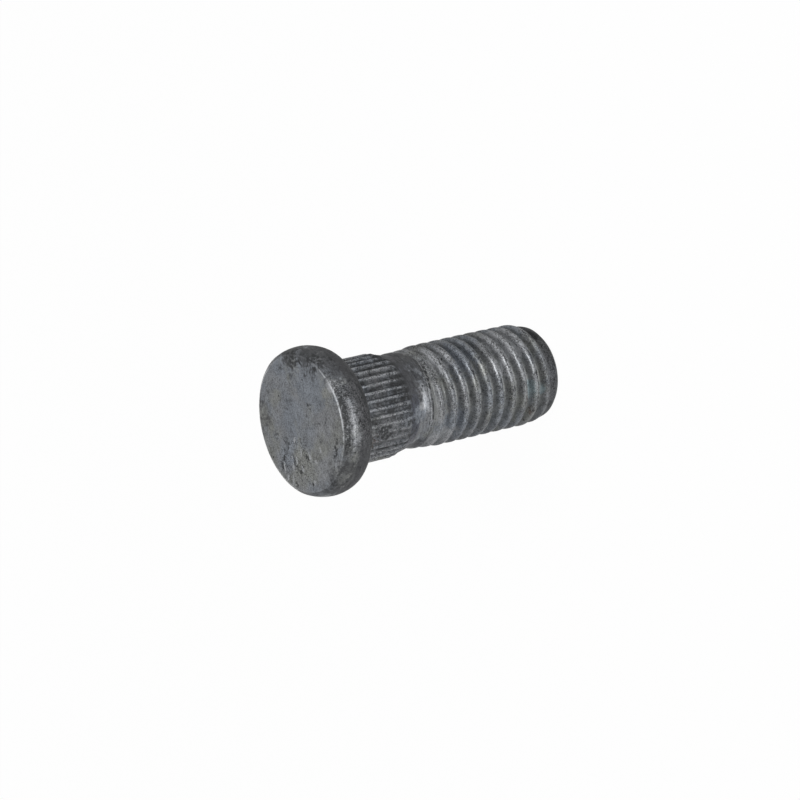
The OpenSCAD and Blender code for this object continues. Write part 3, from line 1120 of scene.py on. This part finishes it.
def addDirtAndShade(tree, here, colour, marks):
    # pits, hollows and spots, and a band of painted shade beside the face
    scale = pitting["scale"]
    inputs = {"Vector": here.place, "Scale": scale, "Randomness": 1.0}
    cells = addNode(tree, "ShaderNodeTexVoronoi", inputs).outputs
    draw = addNode(tree, "ShaderNodeSeparateColor", {0: cells["Color"]}).outputs[0]
    away = product(tree, cells["Distance"], 1 / scale)
    hole = ramp(tree, total(tree, away, product(tree, here.speck, 0.3)), *pitting["edge"])
    chosen = calc(tree, "GREATER_THAN", draw, pitting["chance"])
    here.holes = product(tree, hole, chosen, amounts["holes"])
    pits = ramp(tree, here.speck, 0.36, 0.27)
    pits = product(tree, pits, ramp(tree, here.mottle, 0.55, 0.4), amounts["pits"])
    hollow = product(tree, here.valley, ramp(tree, here.both, -0.25, 0.2, 0.92, 0.55))
    atFoot = within(tree, here.height, *bands["seatFoot"])
    notch = product(tree, here.valley, atFoot, ramp(tree, here.speck, 0.4, 0.5))
    # a band of painted shade runs round beside the face, strongest on the lamp-facing side and
    # broken by mottling
    shadeBandStrength = between(tree, here.lit, 0.35, 0.95)
    beside = within(tree, here.radius, *bands["darkBevel"])
    bandPatches = ramp(tree, total(tree, here.both, here.grain), 0.85, 0.35)
    paintedShadeBand = product(tree, beside, here.onRim, bandPatches, shadeBandStrength)
    broken = ramp(tree, here.speck, 0.6, 0.44)
    spots = product(tree, stained(tree, here, "dirt"), broken, amounts["spots"])
    # a crack runs round below the swelling, with a thin bright lip above it
    crackHeight = ramp(tree, here.share, *crackPath)
    crackHeight = total(tree, crackHeight, product(tree, here.both, 0.2))
    fromCrack = less(tree, here.height, crackHeight)
    cracked = within(tree, here.share, *bands["crackedSide"])
    edges = [within(tree, fromCrack, *bands[name]) for name in ("crack", "crackBack")]
    crack = product(tree, most(tree, *edges), ramp(tree, here.speck, 0.6, 0.46), cracked)
    onLip = within(tree, fromCrack, *bands["crackLip"])
    patchy = ramp(tree, here.grain, 0.35, 0.55)
    here.lip = product(tree, onLip, cracked, patchy, amounts["lip"])
    seam = product(tree, here.seam, amounts["seam"], ramp(tree, here.speck, 0.62, 0.42))
    splits = most(tree, crack, seam)
    dark = [mark for mark in marks if mark[-1] > 0]
    stain = product(tree, struck(tree, here, dark, here.ragged), broken)
    here.dirt = most(tree, here.holes, pits, hollow, notch, paintedShadeBand, spots, splits, stain)
    # the dirt colour also paints the band of shade beside the face
    return blend(tree, here.dirt, colour, zinc["dirt"])


def addWearAndHighlights(tree, here, colour, marks):
    # bright worn edges, broken up by the grain, with painted highlights on the face's edge and
    # along the crests
    faceEdge = within(tree, here.radius, *bands["faceEdge"])
    faceEdge = product(tree, faceEdge, ramp(tree, here.height, *steps["faceEdge"]))
    # painted highlight: the face's worn edge is much brighter on the lamp-facing side
    edgeHighlight = within(tree, here.share, *bands["edgeHighlightSide"])
    patchy = ramp(tree, here.both, -0.25, 0.0)
    wornAndLitEdge = product(tree, faceEdge, patchy, between(tree, edgeHighlight, 0.12, 0.8))
    patchy = ramp(tree, total(tree, here.grain, here.mottle), 0.85, 1.2)
    wornRidge = product(tree, here.ridge, here.ridgeEnd, patchy, amounts["ridge"])
    patchy = ramp(tree, total(tree, here.grain, here.combed), 0.75, 1.15)
    # worn crests, with the stronger upper line as a painted highlight
    wornAndLitCrest = product(tree, here.crest, patchy, amounts["crest"])
    bright = [mark for mark in marks if mark[-1] < 0]
    flecks = struck(tree, here, bright, product(tree, here.ragged, 0.6))
    flecks = product(tree, flecks, ramp(tree, here.grain, 0.3, 0.5))
    share = most(tree, wornAndLitEdge, wornRidge, wornAndLitCrest, here.lip, flecks)
    return blend(tree, share, colour, zinc["worn"])


def zincSteel():
    material = bpy.data.materials.new("zincSteel")
    material.use_nodes = True
    tree = material.node_tree
    shader = tree.nodes["Principled BSDF"]
    here = readSurface(tree)
    marks = nicks + wornDents()
    colour = addToneAndShading(tree, here, addTintsAndShade(tree, here))
    colour = addDirtAndShade(tree, here, colour, marks)
    colour = addWearAndHighlights(tree, here, colour, marks)
    tree.links.new(colour, shader.inputs["Base Color"])

    grains = [product(tree, here.grain, 0.5), product(tree, here.speck, 0.7)]
    relief = total(tree, *grains, product(tree, here.holes, -1.5))
    smooth = most(tree, here.onFace, here.onNeck, product(tree, here.groove, 0.7))
    even = between(tree, smooth, 1.0, 0.5)
    bump = addNode(tree, "ShaderNodeBump", {"Height": product(tree, relief, even)})
    bump.inputs["Distance"].default_value = zinc["bump"] * mm
    tree.links.new(bump.outputs[0], shader.inputs["Normal"])
    dull = product(tree, here.speck, 0.12)
    dull = total(tree, dull, product(tree, most(tree, here.dirt, here.smoky), 0.3))
    sparkle = product(tree, here.swing, even, 0.35)
    roughness = total(tree, dull, sparkle, zinc["roughness"])
    tree.links.new(roughness, shader.inputs["Roughness"])
    shader.inputs["Metallic"].default_value = zinc["metallic"]
    shader.inputs["Specular IOR Level"].default_value = zinc["specular"]
    shader.inputs["Specular Tint"].default_value = (*zinc["edge"], 1)
    return material


sharpAngle = 50  # degrees, above which an edge is shaded sharp


def makeStud():
    material = zincSteel()
    piece = bpy.data.objects.new("wheelStud", blankMesh())
    putInScene(piece)
    print("blank turned:", len(piece.data.polygons), "faces")
    applyTree(piece, knurlTree(material), knurl)
    print("knurl pressed")
    applyTree(piece, threadTree(material), thread)
    print("thread rolled")
    applyTree(piece, wearTree(material), wear)
    mesh = piece.data
    pressMarks(mesh)
    driftFromAxis(mesh)
    print("head marked")
    mesh.transform(Matrix.Scale(mm, 4))
    mesh.shade_smooth()
    mesh.set_sharp_from_angle(angle=math.radians(sharpAngle))
    mesh.calc_loop_triangles()
    print("stud made:", len(mesh.loop_triangles), "triangles")
    return piece


stud = makeStud()
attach(stud, "root")
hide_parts("wheel_stud")
